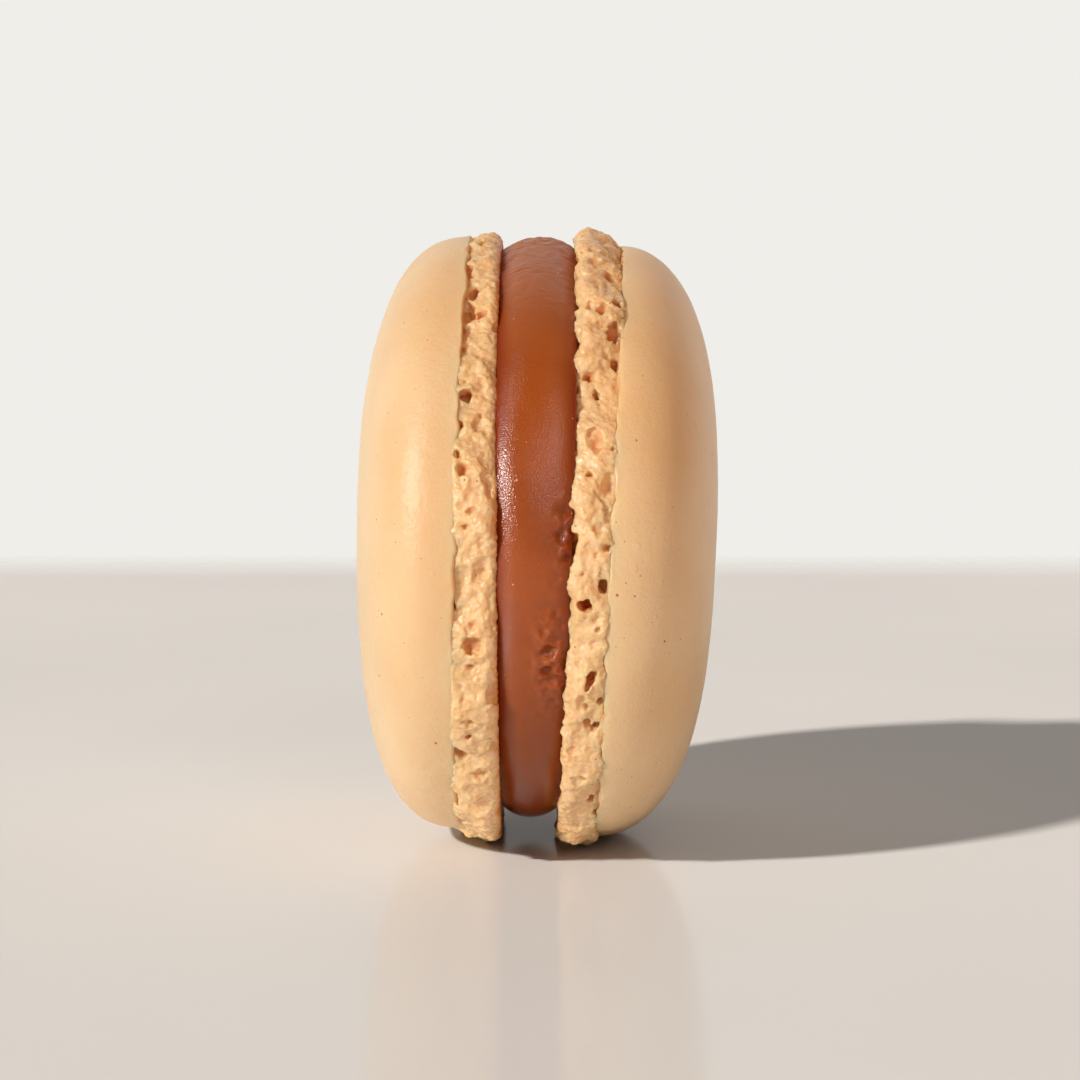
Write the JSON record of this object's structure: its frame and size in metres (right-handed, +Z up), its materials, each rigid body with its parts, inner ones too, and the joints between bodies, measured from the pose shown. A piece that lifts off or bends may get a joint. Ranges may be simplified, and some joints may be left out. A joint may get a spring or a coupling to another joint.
{
  "type": "caramel macaron",
  "caption": "Round sandwich biscuit standing on its edge: domed almond shells with ruffled porous feet and a caramel disc between them.",
  "frame": {"origin": "middle of the bounding box, on the surface that the macaron rests on", "axes": "+X runs through the sandwich from the left shell to the right one, -Y is the side towards the viewer, +Z is up"},
  "size_m": [0.0258, 0.0456, 0.0448],
  "materials": {
    "crust": "baked almond crust, satin on the domes and rough on the feet",
    "caramel": "soft glossy caramel"
  },
  "bodies": {
    "root": {"shell_left": "crust", "shell_right": "crust", "caramel_filling": "caramel"}
  },
  "joints": []
}
